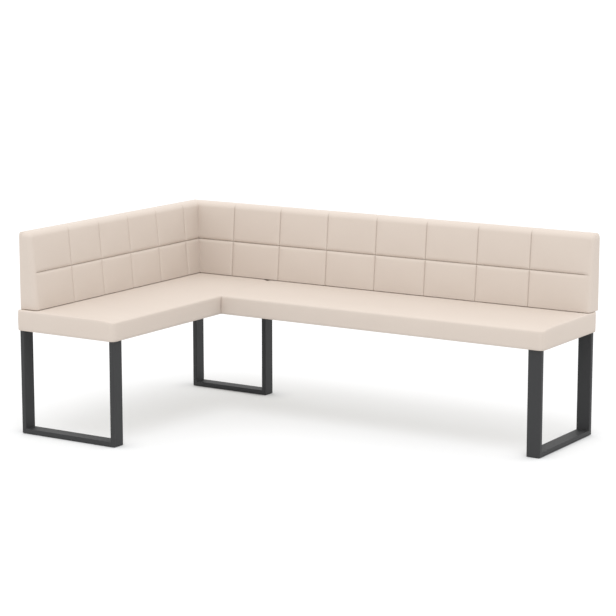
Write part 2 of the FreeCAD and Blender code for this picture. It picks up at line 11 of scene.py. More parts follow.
import bpy
import numpy as np
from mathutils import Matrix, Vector


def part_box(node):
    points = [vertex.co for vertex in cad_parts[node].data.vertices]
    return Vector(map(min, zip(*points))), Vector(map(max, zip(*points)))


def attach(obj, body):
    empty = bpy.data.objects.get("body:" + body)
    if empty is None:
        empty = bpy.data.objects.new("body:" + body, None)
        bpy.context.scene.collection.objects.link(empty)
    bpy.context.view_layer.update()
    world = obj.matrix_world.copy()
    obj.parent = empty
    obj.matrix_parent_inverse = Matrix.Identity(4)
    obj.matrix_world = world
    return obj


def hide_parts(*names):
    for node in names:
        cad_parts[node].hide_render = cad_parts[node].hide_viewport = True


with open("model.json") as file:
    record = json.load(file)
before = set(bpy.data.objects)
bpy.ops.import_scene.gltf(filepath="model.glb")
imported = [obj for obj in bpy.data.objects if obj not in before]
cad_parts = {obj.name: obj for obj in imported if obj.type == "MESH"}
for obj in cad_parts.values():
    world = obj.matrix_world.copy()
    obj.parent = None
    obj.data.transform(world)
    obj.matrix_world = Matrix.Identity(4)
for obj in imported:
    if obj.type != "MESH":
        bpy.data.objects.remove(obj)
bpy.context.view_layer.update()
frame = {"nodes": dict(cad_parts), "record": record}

print("pieces in the construction model:", len(frame["nodes"]))

# %% [markdown]
# ## Places and sizes
# Every soft piece has to sit where the construction model says, so its sizes are read from
# the solids that it stands for. Only the seams and the roundings have values of their own.

# %% Read the places of seats and backs
MM = 0.001


def corners(node):
    """Lowest and highest corner of a solid, as two arrays in metres."""
    low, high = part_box(node)
    return np.array(low), np.array(high)


short_low, short_high = corners("short_seat_cover")
long_low, long_high = corners("long_seat_cover")
seat_left, seat_front = short_low[0], short_low[1]
seat_right, seat_rear = long_high[0], short_high[1]
seat_low, seat_top = short_low[2], short_high[2]
joint_x = (short_high[0] + long_low[0]) / 2
seat_depth = joint_x - seat_left
long_front = seat_rear - seat_depth
back_of_short = corners("short_back_quilted_cover")
back_of_long = corners("long_back_quilted_cover")
short_face, short_end = back_of_short[1][0], back_of_short[0][1]
long_face = back_of_long[0][1]
back_thickness = short_face - back_of_short[0][0]
print("seat depth and back thickness:", round(seat_depth, 4), round(back_thickness, 4))

# %% [markdown]
# ## Surfaces from a lattice
# A padded slab is a closed skin. It could be a cube with many subdivisions, but a lattice of
# chosen lines is better here: the lines can crowd together at a rounding or a seam and stay
# wide apart on the flat. Each point of the skin is named by three line numbers, and a shape
# is then one formula for all the points at once.


# %% Skin of a lattice
def lattice_skin(counts):
    """Line numbers of the points on the surface of a lattice, and the quads between them.
    Each of the six sides is a grid of two line numbers, with the third at its first or last line."""

    def side(axis, last):
        u, v = ((1, 2), (2, 0), (0, 1))[axis]
        grid = np.zeros((counts[u], counts[v], 3), int)
        grid[..., u] = np.arange(counts[u])[:, None]
        grid[..., v] = np.arange(counts[v])[None, :]
        grid[..., axis] = last * (counts[axis] - 1)
        quads = np.stack([grid[:-1, :-1], grid[1:, :-1], grid[1:, 1:], grid[:-1, 1:]], axis=2)
        return (quads if last else quads[:, :, ::-1]).reshape(-1, 4, 3)

    named = np.concatenate([side(axis, last) for axis in range(3) for last in (0, 1)]).reshape(-1, 3)
    keys = (named[:, 0] * counts[1] + named[:, 1]) * counts[2] + named[:, 2]
    first, where = np.unique(keys, return_index=True, return_inverse=True)[1:]
    return named[first], where.reshape(-1, 4)


def lattice_points(*lines):
    """Line numbers, places and quads of the skin of a lattice."""
    named, quads = lattice_skin([len(places) for places in lines])
    points = np.stack([places[named[:, axis]] for axis, places in enumerate(lines)], axis=1)
    return named, points, quads


SHARP_ANGLE = math.radians(65)


def mesh_object(name, points, quads):
    """New object at the origin from an array of points and an array of quads."""
    mesh = bpy.data.meshes.new(name)
    mesh.from_pydata(points.tolist(), [], quads.tolist())
    mesh.polygons.foreach_set("use_smooth", np.ones(len(quads), bool))
    mesh.update()
    mesh.set_sharp_from_angle(angle=SHARP_ANGLE)
    piece = bpy.data.objects.new(name, mesh)
    bpy.context.scene.collection.objects.link(piece)
    return piece


def dress(piece, slot, material, *replaced):
    """The piece moves with the bench, takes its finish and stands for the solids named."""
    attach(piece, "root")
    piece.data.materials.append(material)
    if replaced:
        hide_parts(*replaced)
    print(piece.name, "points:", len(piece.data.vertices))


# %% Lines of a lattice
def spread(low, high, pitch):
    """Evenly spaced lines from low to high, about a pitch apart."""
    return np.linspace(low, high, max(2, int(round((high - low) / pitch)) + 1))


def crowd(places, offsets):
    """Lines at each place and at each offset to both sides of it. The first offset is zero."""
    both = np.concatenate([-offsets[::-1], offsets[1:]])
    return (np.asarray(places)[:, None] + both[None, :]).ravel()


def sorted_lines(*groups, apart=0.4 * MM):
    """All lines in order, without those that lie closer than apart to the one before."""
    lines = np.sort(np.concatenate(groups))
    return lines[np.append(True, np.diff(lines) > apart)]


# %% Skin of a plate
def cut_plate(cells):
    """Closed skin of a plate cut out of a plan grid: the chosen cells below and above, and a wall
    wherever a cell has no neighbour. Returns which grid points are in use, the upper ones counted
    after all the lower ones, and the quads between the points in use."""
    number = np.arange((cells.shape[0] + 1) * (cells.shape[1] + 1)).reshape(cells.shape[0] + 1, -1)
    rings = np.stack([number[:-1, :-1], number[1:, :-1], number[1:, 1:], number[:-1, 1:]], axis=2)
    around = np.pad(cells, 1)
    rims = []
    for step_x, step_y, first, second in ((-1, 0, 3, 0), (1, 0, 1, 2), (0, -1, 0, 1), (0, 1, 2, 3)):
        beside = around[1 + step_x:around.shape[0] - 1 + step_x, 1 + step_y:around.shape[1] - 1 + step_y]
        rims.append(rings[cells & ~beside][:, [first, second]])
    rim = np.concatenate(rims)
    walls = np.stack([rim[:, 0], rim[:, 1], rim[:, 1] + number.size, rim[:, 0] + number.size], axis=1)
    quads = np.concatenate([rings[cells][:, ::-1], rings[cells] + number.size, walls])
    used = np.unique(quads)
    return used, np.searchsorted(used, quads)


# %% [markdown]
# ## Letting the padding swell
# Foam under a tight cover bulges most in the middle of a panel and is held down at its seams.
# A formula for that looks stiff, so a coarse copy of the slab is blown up gently as cloth:
# its seams, edges and underside are held, the rest is free. What it has moved is read as an
# array, and the finished surface takes it over, so no cloth is left on the piece.

# %% Swell a held skin as cloth
CLOTH_FRAMES = 16
RIPPLE_LENGTHS = (0.017, 0.026, 0.041, 0.073)


def swell(points, quads, held, pressure):
    """Runs cloth on a closed skin and returns how far each point has moved."""
    piece = mesh_object("swelling", points, quads)
    group = piece.vertex_groups.new(name="held")
    group.add(np.flatnonzero(held).tolist(), 1.0, "REPLACE")
    cloth = piece.modifiers.new("cloth", "CLOTH")
    settings = cloth.settings
    settings.quality = 6
    settings.mass = 0.2
    settings.tension_stiffness = 12.0
    settings.compression_stiffness = 12.0
    settings.shear_stiffness = 4.0
    settings.bending_stiffness = 0.6
    settings.vertex_group_mass = "held"
    settings.use_pressure = True
    settings.uniform_pressure_force = pressure
    settings.effector_weights.gravity = 0.0
    cloth.collision_settings.use_collision = False
    scene = bpy.context.scene
    cloth.point_cache.frame_start = 1
    cloth.point_cache.frame_end = CLOTH_FRAMES
    for step in range(1, CLOTH_FRAMES + 1):
        scene.frame_set(step)
    grown = piece.evaluated_get(bpy.context.evaluated_depsgraph_get()).data
    moved = np.zeros(len(points) * 3, np.float32)
    grown.vertices.foreach_get("co", moved)
    moved = moved.reshape(-1, 3).astype(float) - points
    bpy.data.objects.remove(piece)
    scene.frame_set(1)
    return moved


def between(lines_u, lines_v, values, u, v):
    """Values of a grid at any place, by straight lines between the four nearest grid points."""
    column = np.clip(np.searchsorted(lines_u, u) - 1, 0, len(lines_u) - 2)
    row = np.clip(np.searchsorted(lines_v, v) - 1, 0, len(lines_v) - 2)
    s = np.clip((u - lines_u[column]) / (lines_u[column + 1] - lines_u[column]), 0, 1)
    t = np.clip((v - lines_v[row]) / (lines_v[row + 1] - lines_v[row]), 0, 1)
    low = values[column, row] * (1 - s) + values[column + 1, row] * s
    high = values[column, row + 1] * (1 - s) + values[column + 1, row + 1] * s
    return low * (1 - t) + high * t


def ripple(along, seed):
    """Slow irregular wave from minus one to one: a few sines whose lengths don't fit each other."""
    random = np.random.default_rng(seed)
    wave = np.zeros_like(along)
    for length in RIPPLE_LENGTHS:
        wave += np.sin(2 * math.pi * along / length + random.uniform(0, 2 * math.pi))
    return wave / len(RIPPLE_LENGTHS)


# %% [markdown]
# ## Finishes
# Shader arithmetic reads best as arithmetic. The small class below wraps a socket, so that
# `0.5 + mask * 0.2` adds the Math nodes by itself, and one method adds any other node.


# %% Shader expressions
class Signal:
    """One output of a node. Sums and products with it add Math nodes to its finish."""

    def __init__(self, finish, socket):
        self.finish = finish
        self.socket = socket

    def maths(self, operation, first, second):
        return self.finish.node("ShaderNodeMath", {"operation": operation}, {0: first, 1: second})

    def __add__(self, other):
        return self.maths("ADD", self, other)

    def __mul__(self, other):
        return self.maths("MULTIPLY", self, other)

    __radd__ = __add__
    __rmul__ = __mul__


class Finish:
    """A material under construction."""

    def __init__(self, name):
        self.material = bpy.data.materials.new(name)
        self.material.use_nodes = True
        self.tree = self.material.node_tree
        self.shader = self.tree.nodes["Principled BSDF"]

    def feed(self, socket, value):
        """Link a signal to a socket, or set the socket's own value."""
        if isinstance(value, Signal):
            self.tree.links.new(value.socket, socket)
        else:
            socket.default_value = value

    def node(self, kind, settings, inputs, output=0):
        """Add a node, set its settings first, then its inputs, and return one of its outputs."""
        node = self.tree.nodes.new(kind)
        for name, value in settings.items():
            setattr(node, name, value)
        for name, value in inputs.items():
            self.feed(node.inputs[name], value)
        return Signal(self, node.outputs[output])

    def place(self):
        """Position on the bench in metres."""
        return self.node("ShaderNodeTexCoord", {}, {}, "Object")

    def noise(self, scale, detail=3.0, place=None, roughness=0.5):
        """Cloudy noise from 0 to 1, scale times to the metre."""
        inputs = {"Vector": place or self.place(), "Scale": scale, "Detail": detail, "Roughness": roughness}
        return self.node("ShaderNodeTexNoise", {}, inputs, "Fac")

    def cells(self, scale, feature="F1"):
        """Distance in a pattern of cells, scale times to the metre."""
        inputs = {"Vector": self.place(), "Scale": scale}
        return self.node("ShaderNodeTexVoronoi", {"feature": feature}, inputs, "Distance")

    def stretched(self, sizes):
        """Position with each axis stretched, for grain that runs one way."""
        return self.node("ShaderNodeMapping", {}, {"Vector": self.place(), "Scale": sizes})

    def blend(self, amount, first, second):
        """Colour between two colours. A Mix node has them as inputs 6 and 7 and as output 2."""
        settings = {"data_type": "RGBA", "clamp_factor": True}
        return self.node("ShaderNodeMix", settings, {0: amount, 6: first, 7: second}, 2)

    def relief(self, height, distance, strength):
        """Bump from a height signal, with distance as its depth in metres."""
        inputs = {"Height": height, "Distance": distance, "Strength": strength}
        self.feed(self.shader.inputs["Normal"], self.node("ShaderNodeBump", {}, inputs, "Normal"))

    def set(self, **values):
        """Set the shader's sockets, with underscores for the spaces in their names."""
        for name, value in values.items():
            self.feed(self.shader.inputs[name.replace("_", " ")], value)


def rgb(red, green, blue):
    """Colour from screen values of 0 to 255, turned into the linear values that shaders use."""
    screen = np.array([red, green, blue]) / 255
    linear = np.where(screen <= 0.04045, screen / 12.92, ((screen + 0.055) / 1.055) ** 2.4)
    return (*linear.tolist(), 1.0)


# %% [markdown]
# ### Imitation leather
# The cover is a coated cloth in warm cream with a fine pebbled grain and a dull sheen. The
# grain is cells about a millimetre wide; broad faint clouds keep large panels from looking
# printed. Where the cover dives into a seam, its colour is darkened as painted shade in the
# channel, by as much as an attribute on the mesh says.

# %% Imitation leather
SEAM_SHADE_ATTRIBUTE = "painted_seam_shade"


def imitation_leather():
    finish = Finish("cream_imitation_leather")
    clouds = finish.noise(5.0, detail=4.0)
    fine = finish.noise(220.0, detail=2.0)
    cells = finish.cells(900.0, "DISTANCE_TO_EDGE")
    mark = finish.node("ShaderNodeAttribute", {"attribute_name": SEAM_SHADE_ATTRIBUTE}, {}, "Fac")
    # The darkest colour is painted shade for the bottoms of the seams, mixed in by the seam attribute.
    light, dark, seam_shade_colour = rgb(203, 192, 182), rgb(198, 186, 176), rgb(126, 112, 99)
    tone = finish.blend(clouds * 0.7 + fine * 0.3, dark, light)
    tone = finish.blend(mark * 0.75, tone, seam_shade_colour)
    finish.set(Base_Color=tone, Roughness=0.52 + clouds * 0.08 + mark * 0.1, IOR=1.45,
               Specular_IOR_Level=0.12)
    finish.relief(cells * 0.6 + fine * 0.5, distance=0.00025, strength=0.35)
    return finish.material


leather = imitation_leather()

# %% [markdown]
# ### Powder-coated steel
# The runner frames are matt anthracite powder coat: nearly black, with the faint orange-peel
# skin that the powder leaves when it melts. The hidden bars and plates are plainer black.


# %% Powder coat
def powder_coat(name, colour):
    finish = Finish(name)
    peel = finish.noise(420.0, detail=2.0)
    clouds = finish.noise(9.0)
    sharp_edges = finish.node("ShaderNodeNewGeometry", {}, {}, "Pointiness")
    edge = finish.node("ShaderNodeMapRange", {}, {"Value": sharp_edges, "From Min": 0.52, "From Max": 0.6})
    paler = tuple(channel * 1.12 for channel in colour[:3]) + (1.0,)
    tone = finish.blend(clouds, colour, paler)
    # Sharp outer edges are mixed towards a paler grey: a painted highlight along the tube edges.
    tone = finish.blend(edge * 0.25, tone, rgb(84, 85, 87))
    finish.set(Base_Color=tone, Roughness=0.55 + peel * 0.08, IOR=1.38)
    finish.relief(peel, distance=0.0003, strength=0.3)
    return finish.material


# %% [markdown]
# ### Hidden materials
# The rails, boards, bolts, glides and dust covers show only from below or behind, and they
# still get their own surface: grain that runs along the wood, layered plywood, zinc with its
# crystal flakes, and the felted black cloth that closes a seat's underside.


# %% Wood, zinc, plastic and cloth
def planed_wood():
    finish = Finish("pine_rails")
    along_x = (0.2, 1.0, 1.0)
    grain = finish.noise(14.0, detail=6.0, place=finish.stretched(along_x), roughness=0.65)
    pores = finish.noise(160.0, detail=2.0, place=finish.stretched(along_x))
    tone = finish.blend(grain, rgb(184, 142, 92), rgb(222, 188, 140))
    finish.set(Base_Color=tone, Roughness=0.6 + pores * 0.15)
    finish.relief(grain * 0.5 + pores * 0.5, distance=0.0004, strength=0.5)
    return finish.material


def layered_plywood():
    finish = Finish("birch_plywood")
    layers = finish.node("ShaderNodeTexWave", {"bands_direction": "Z"},
                         {"Vector": finish.place(), "Scale": 180.0, "Distortion": 0.6}, "Fac")
    grain = finish.noise(18.0, detail=5.0, place=finish.stretched((0.15, 1.0, 4.0)))
    tone = finish.blend(grain, rgb(176, 140, 98), rgb(214, 184, 142))
    tone = finish.blend(layers * 0.35, tone, rgb(130, 96, 62))
    finish.set(Base_Color=tone, Roughness=0.62 + grain * 0.1)
    finish.relief(grain, distance=0.0003, strength=0.4)
    return finish.material


def zinc_plate():
    finish = Finish("zinc_plated_steel")
    flakes = finish.cells(500.0)
    smear = finish.noise(60.0)
    tone = finish.blend(smear, rgb(168, 168, 160), rgb(204, 204, 200))
    finish.set(Base_Color=tone, Metallic=1.0, Roughness=0.28 + flakes * 0.2)
    finish.relief(flakes, distance=0.0001, strength=0.2)
    return finish.material


def moulded_plastic():
    finish = Finish("black_glide_plastic")
    speckle = finish.noise(900.0, detail=2.0)
    tone = finish.blend(speckle, rgb(30, 30, 31), rgb(42, 42, 43))
    finish.set(Base_Color=tone, Roughness=0.5 + speckle * 0.15)
    finish.relief(speckle, distance=0.0001, strength=0.3)
    return finish.material


def felted_cloth():
    finish = Finish("black_felted_cloth")
    dimples = finish.cells(420.0)
    fibres = finish.noise(700.0)
    tone = finish.blend(fibres, rgb(26, 26, 27), rgb(52, 52, 54))
    finish.set(Base_Color=tone, Roughness=0.9)
    finish.relief(dimples * 0.6 + fibres * 0.4, distance=0.0004, strength=0.6)
    return finish.material


def foam_rubber():
    finish = Finish("cream_foam")
    pores = finish.cells(700.0)
    tone = finish.blend(pores, rgb(214, 200, 150), rgb(240, 230, 190))
    finish.set(Base_Color=tone, Roughness=0.95)
    finish.relief(pores, distance=0.0006, strength=0.8)
    return finish.material


finishes = {
    "upholstery": leather,
    "frame_paint": powder_coat("anthracite_powder_coat", rgb(29, 29, 29)),
    "bracket_paint": powder_coat("black_powder_coat", rgb(26, 26, 27)),
    "softwood": planed_wood(),
    "plywood": layered_plywood(),
    "zinc_steel": zinc_plate(),
    "glide_plastic": moulded_plastic(),
    "dust_cloth": felted_cloth(),
    "foam": foam_rubber(),
}

# %% Give every solid its finish
for part in frame["record"]["subparts"]:
    solid = frame["nodes"][part["node"]]
    solid.data.materials.clear()
    solid.data.materials.append(finishes[part["material_slot"]])
print("finishes:", ", ".join(sorted(finishes)))

# %% [markdown]
# ## The seats
# Both seats are one L of foam under a tight cover, cut by a butt joint in the inner corner.
# The top edge is rounded, a little more along the front than at the ends and along the wall,
# and the top is crowned from front to back. So the height of the top is a function of the
# distances to the L's sides, and the same function serves both seats, which makes the joint
# run through unseen.

# %% Distance to the seats' outline
plan_radius = 22 * MM
top_radius = 10 * MM
end_radius = 7 * MM
bottom_radius = 1.5 * MM
crown_height = 5.5 * MM
crown_width = 90 * MM
seat_skin_low = seat_low - 1.2 * MM
side_top = seat_top - crown_height


def corner_distance(a, b):
    """Distance to a rounded corner from the distances to its two sides."""
    inside = (a < plan_radius) & (b < plan_radius)
    reach = np.hypot(np.maximum(plan_radius - a, 0), np.maximum(plan_radius - b, 0))
    return np.where(inside, plan_radius - reach, np.minimum(a, b))


def outline_distances(x, y):
    """Distance from a place on the plan to the L's outline, to its two inner sides, along which
    one sits, and to all its other sides."""
    left, rear = x - seat_left, seat_rear - y
    front, right = y - seat_front, seat_right - x
    inner = np.hypot(np.maximum(joint_x - x, 0), np.maximum(y - long_front, 0))
    wide = np.full_like(x, seat_depth)
    front_of_short = np.where(x < joint_x, front, wide)
    others = np.minimum.reduce([left, rear, front_of_short, right])
    turns = np.minimum.reduce([
        corner_distance(left, front_of_short), corner_distance(left, rear), corner_distance(right, rear),
        corner_distance(right, np.where(x > joint_x, y - long_front, wide)),
        corner_distance(np.where(y < long_front, joint_x - x, wide), front_of_short),
    ])
    return np.minimum(np.minimum(inner, others), turns), inner, others


# %% Height of a seat's top and underside
press_depth = 3 * MM
press_width = 9 * MM
end_blend = 30 * MM
tuck_place = seat_left + 460 * MM
tuck_depth, tuck_width, tuck_reach = 7 * MM, 9 * MM, 26 * MM
tuck_slant = 0.6
foot_steps = np.array([0, 3, 7, 12, 18, 25, 33]) * MM
tuck_steps = np.array([0, 4, 8, 13, 19, 26]) * MM


def smooth_step(low, high, value):
    """Zero below low, one above high, and three t squared minus two t cubed between."""
    t = np.clip((value - low) / (high - low), 0, 1)
    return t * t * (3 - 2 * t)


def quarter_drop(distance, radius):
    """How far a quarter round lies below its top at a distance from its edge."""
    reach = np.clip(radius - distance, 0, radius)
    return radius - np.sqrt(radius ** 2 - reach ** 2)


def seat_heights(x, y):
    """Underside and top of the seats at a place on the plan.
    The crown rises as one minus the square of the way left to its full width. A small tuck runs
    slantwise into the foot of the long back."""
    edge, inner, others = outline_distances(x, y)
    rise = np.clip((inner - top_radius) / crown_width, 0, 1)
    radius = top_radius + (end_radius - top_radius) * smooth_step(-end_blend, end_blend, inner - others)
    top = side_top + crown_height * (1 - (1 - rise) ** 2) - quarter_drop(edge, radius)
    to_long, to_short = long_face - y, x - short_face
    beyond_end = np.maximum(short_end - y, 0)
    to_back = np.minimum(np.maximum(to_long, 0), np.hypot(np.maximum(to_short, 0), beyond_end))
    pressed = np.minimum(top, seat_top - press_depth * np.exp(-(to_back / press_width) ** 2))
    beside_tuck = x - tuck_place - tuck_slant * to_long
    pressed -= tuck_depth * np.exp(-(beside_tuck / tuck_width) ** 2 - (to_long / tuck_reach) ** 2)
    under = seat_skin_low + quarter_drop(edge, bottom_radius)
    return under, pressed


# %% Swell the whole L
swell_pitch = 16 * MM
swell_rim = 1.2 * swell_pitch
seat_pressure = 3.0
seat_lift = 3.5 * MM


def seat_swelling():
    """Lift of the seats' top on a plan grid, from cloth held at the sides, the underside and the backs."""
    xs = sorted_lines(spread(seat_left, joint_x, swell_pitch), spread(joint_x, seat_right, swell_pitch))
    ys = sorted_lines(spread(seat_front, long_front, swell_pitch), spread(long_front, seat_rear, swell_pitch))
    in_short, in_long = (xs[:-1] + xs[1:]) / 2 < joint_x, (ys[:-1] + ys[1:]) / 2 > long_front
    used, quads = cut_plate(in_short[:, None] | in_long[None, :])
    x, y = (grid.ravel() for grid in np.meshgrid(xs, ys, indexing="ij"))
    count = x.size
    low = np.stack([x, y, np.full(count, seat_low)], axis=1)
    high = np.stack([x, y, seat_heights(x, y)[1]], axis=1)
    points = np.concatenate([low, high])[used]
    edge = outline_distances(points[:, 0], points[:, 1])[0]
    at_back = (points[:, 1] > long_face) | (points[:, 0] < short_face)
    held = (used < count) | (edge < swell_rim) | at_back
    lift = np.zeros(2 * count)
    lift[used] = swell(points, quads, held, seat_pressure)[:, 2]
    lift = lift[count:].reshape(len(xs), len(ys))
    print("seat cloth lift, mm:", round(float(lift.max()) / MM, 2))
    return xs, ys, lift * seat_lift / max(float(lift.max()), MM)


swell_x, swell_y, swell_lift = seat_swelling()

# %% [markdown]
# ### Finished seat skins
# Each seat is a lattice whose points slide into the rounded corners: a point in a corner's
# square keeps its larger distance to the corner's centre and turns it into a radius, so square
# rings become round ones. Its height runs from the underside to the top. Inside the turned-in
# edge below, the skin is a little higher, so that the dust cover lies in it.

# %% Build a seat
seat_pitch = 12 * MM
wall_rings = 8
flange_width, flange_step = 28 * MM, 0.6 * MM
dust_recess = 3.3 * MM
side_bulge = 0.8 * MM
joint_gap = 0.15 * MM
joint_round, joint_round_run = 2.6 * MM, 30 * MM
joint_offsets = np.array([0, 0.6, 1.5, 3]) * MM
edge_angles = np.linspace(0, math.pi / 2, 9)
edge_offsets = top_radius * (1 - np.cos(edge_angles))


def seat_lines(low, high, free_start, finer):
    """Lines across a seat, crowded where an edge is rounded and at the turned-in edge below,
    with finer ones along the foot of a back. The low end is free or butts against a joint."""
    start = edge_offsets if free_start else joint_offsets
    flange = np.array([low + flange_width, low + flange_width + flange_step,
                       high - flange_width - flange_step, high - flange_width])
    inner_low = low + start[-1] + (plan_radius - top_radius if free_start else 0)
    inner_high = high - edge_offsets[-1] - (plan_radius - top_radius)
    finer = finer[(finer > low + start[-1]) & (finer < high - edge_offsets[-1])]
    wide = spread(inner_low, inner_high, seat_pitch)
    return sorted_lines(low + start, high - edge_offsets, wide, flange, finer)


def into_corners(x, y, box, rounded_corners):
    """Slide lattice places into rounded plan corners.
    In a corner's square the place becomes the centre plus its direction times its larger offset."""
    x, y = x.copy(), y.copy()
    for at_high_x, at_high_y in rounded_corners:
        centre_x = box[1] - plan_radius if at_high_x else box[0] + plan_radius
        centre_y = box[3] - plan_radius if at_high_y else box[2] + plan_radius
        away_x = (x - centre_x) * (1 if at_high_x else -1)
        away_y = (y - centre_y) * (1 if at_high_y else -1)
        inside = (away_x > 0) & (away_y > 0)
        shrink = np.maximum(away_x, away_y) / np.maximum(np.hypot(away_x, away_y), 1e-9)
        x = np.where(inside, centre_x + (x - centre_x) * shrink, x)
        y = np.where(inside, centre_y + (y - centre_y) * shrink, y)
    return x, y


def build_seat(name, box, free_start, rounded_corners, *replaced):
    """A seat's closed skin over the plan box (low x, high x, low y, high y). The side at low x
    is free or butts against the other seat."""
    finer_x = np.concatenate([short_face + foot_steps, crowd([tuck_place], tuck_steps)])
    xs = seat_lines(box[0], box[1], free_start, finer_x)
    ys = seat_lines(box[2], box[3], True, long_face - foot_steps)
    shares = np.linspace(0, 1, wall_rings)
    named, quads = lattice_skin((len(xs), len(ys), len(shares)))
    lattice_x, lattice_y, share = xs[named[:, 0]], ys[named[:, 1]], shares[named[:, 2]]
    x, y = into_corners(lattice_x, lattice_y, box, rounded_corners)
    under, top = seat_heights(x, y)
    lift = between(swell_x, swell_y, swell_lift, x, y)
    in_flange = np.minimum.reduce([lattice_x - box[0], box[1] - lattice_x,
                                   lattice_y - box[2], box[3] - lattice_y]) > flange_width + flange_step / 2
    bottom = under + dust_recess * in_flange
    z = bottom + (top + lift - bottom) * share
    wall = (share > 0) & (share < 1)
    bulge = side_bulge * np.sin(math.pi * share) * wall
    at_low, at_high = named == 0, named == [len(xs) - 1, len(ys) - 1, wall_rings - 1]
    free_high_x = at_high[:, 0] & ((y < long_front) | (box[1] > joint_x))
    x = x + bulge * (1.0 * free_high_x - (at_low[:, 0] & free_start))
    y = y + bulge * (1.0 * at_high[:, 1] - at_low[:, 1])
    if not free_start:
        fading = 1 - smooth_step(0, joint_round_run, lattice_y - box[2])
        y = y + quarter_drop(lattice_x - box[0], joint_round) * fading
    piece = mesh_object(name, np.stack([x, y, z], axis=1), quads)
    dress(piece, "upholstery", leather, *replaced)


build_seat("short_seat", (seat_left, joint_x - joint_gap, seat_front, seat_rear), True,
           ((0, 0), (1, 0), (0, 1)), "short_seat_cover", "short_seat_foam")
build_seat("long_seat", (joint_x + joint_gap, seat_right, long_front, seat_rear), False,
           ((1, 0), (1, 1)), "long_seat_cover", "long_seat_foam")

# %% [markdown]
# ### Dust covers
# A sheet of felted cloth is stapled under the rails of each seat, with slots for the plates of
# the frames. It is pulled tight, and still hangs a little between the rails, so its height is
# the staples' height less a smooth rise with the distance to the nearest edge or slot.

# %% Stretch the dust covers
cloth_pitch = 20 * MM
cloth_sag, sag_run = 3 * MM, 130 * MM
cloth_thickness = 0.7 * MM
staple_gap = 0.1 * MM
slot_gap = 1 * MM


def dust_cover(name, node, posts):
    """A cut sheet over the place of the solid, with a slot around each post's plate."""
    low, high = corners(node)
    boxes = [corners(post) for post in posts]
    slots = np.array([[box[0][0], box[1][0], box[0][1], box[1][1]] for box in boxes])
    slots += np.array([-1, 1, -1, 1]) * slot_gap
    xs, ys = (sorted_lines(spread(low[axis], high[axis], cloth_pitch),
                           np.clip(slots[:, 2 * axis:2 * axis + 2].ravel(), low[axis], high[axis]))
              for axis in (0, 1))

    def slot_distance(x, y):
        beside_x = np.maximum(slots[:, 0] - x[:, None], x[:, None] - slots[:, 1])
        beside_y = np.maximum(slots[:, 2] - y[:, None], y[:, None] - slots[:, 3])
        return np.hypot(np.maximum(beside_x, 0), np.maximum(beside_y, 0)).min(axis=1)

    middle_x, middle_y = np.meshgrid((xs[:-1] + xs[1:]) / 2, (ys[:-1] + ys[1:]) / 2, indexing="ij")
    cells = slot_distance(middle_x.ravel(), middle_y.ravel()).reshape(middle_x.shape) > 0
    used, quads = cut_plate(cells)
    x, y = (grid.ravel() for grid in np.meshgrid(xs, ys, indexing="ij"))
    near = np.minimum.reduce([x - low[0], high[0] - x, y - low[1], high[1] - y, slot_distance(x, y)])
    slack = 0.85 + 0.15 * ripple(0.4 * x + 0.3 * y, seed=11)
    upper = high[2] - staple_gap - cloth_sag * smooth_step(0, sag_run, near) * slack
    below = np.stack([x, y, upper - cloth_thickness], axis=1)
    above = np.stack([x, y, upper], axis=1)
    piece = mesh_object(name, np.concatenate([below, above])[used], quads)
    dress(piece, "dust_cloth", finishes["dust_cloth"], node)


dust_cover("short_seat_dust_sheet", "short_seat_dust_cover",
           ["left_frame_outer_post", "left_frame_inner_post",
            "corner_frame_outer_post", "corner_frame_inner_post"])
dust_cover("long_seat_dust_sheet", "long_seat_dust_cover",
           ["right_frame_front_post", "right_frame_rear_post"])

# %% [markdown]
# ## The quilted backs
# A back is a wedge: its rear is upright and its front leans by five degrees. A soft rounding
# runs along its front top edge and its open end, and its front is quilted by one level seam and
# a row of upright ones. In its own directions, u runs along it, v from its rear towards the
# sitter, and z up. The formula first rounds a slab, then moves each point of the front in or
# out, and last leans the front. The long back's inner end hugs the short back, also where that
# is rounded, so that the two tops meet in one fold, as two tight covers do.

# %% Seams
level_seam = seat_top + 154.5 * MM
end_panel, long_panel = 286.5 * MM, 249.4 * MM
short_end_panel, short_panel = 255 * MM, 207.3 * MM
long_seam_count, short_seam_count = 7, 5
long_length = back_of_long[1][0] - short_face
short_length = back_of_short[1][1] - short_end
long_seams = np.sort(long_length - end_panel - long_panel * np.arange(long_seam_count))
short_seams = short_end_panel + short_panel * np.arange(short_seam_count)
print("upright seams:", len(long_seams), "on the long back,", len(short_seams), "on the short one")

lean_slope = math.tan(math.radians(5))
front_inset = 1.5 * MM
roll_width = 14 * MM
upright_roll, level_roll = 3.4 * MM, 4.6 * MM
stitch_width = 1.4 * MM
upright_stitch, level_stitch = 1.2 * MM, 1.8 * MM
pad_lift = 3.2 * MM
pucker_height = 0.35 * MM
pucker_gap, pucker_width = 4 * MM, 16 * MM


def groove(distance):
    """Bell curve: one under the thread of a seam, and nothing a few millimetres beside it."""
    return np.exp(-(distance / stitch_width) ** 2)


def seam_depth(distance, roll, stitch):
    """Depth of a sewn channel: its shoulders roll in as a square, and the thread cuts a groove."""
    return roll * np.clip(1 - distance / roll_width, 0, 1) ** 2 + stitch * groove(distance)


def puckers(along, distance, seed):
    """Fine wrinkles across a seam: a ripple times a fade with the distance, times one less a bell
    curve, so that they start a little beside it."""
    fade = np.exp(-distance / pucker_width)
    return ripple(along, seed) * fade * (1 - np.exp(-(distance / pucker_gap) ** 2))


def round_slab(points, low, high, low_radii, high_radii):
    """Round a box and say where its surface faces. The nearest point of an inner box plus the
    radii times the unit vector away from it gives each point its place on an ellipsoid."""
    inner = np.clip(points, low + low_radii, high - high_radii)
    radii = np.where(points < inner, low_radii, high_radii)
    facing = (points - inner) / radii
    facing = facing / np.maximum(np.linalg.norm(facing, axis=1, keepdims=True), 1.0)
    return inner + radii * facing, facing


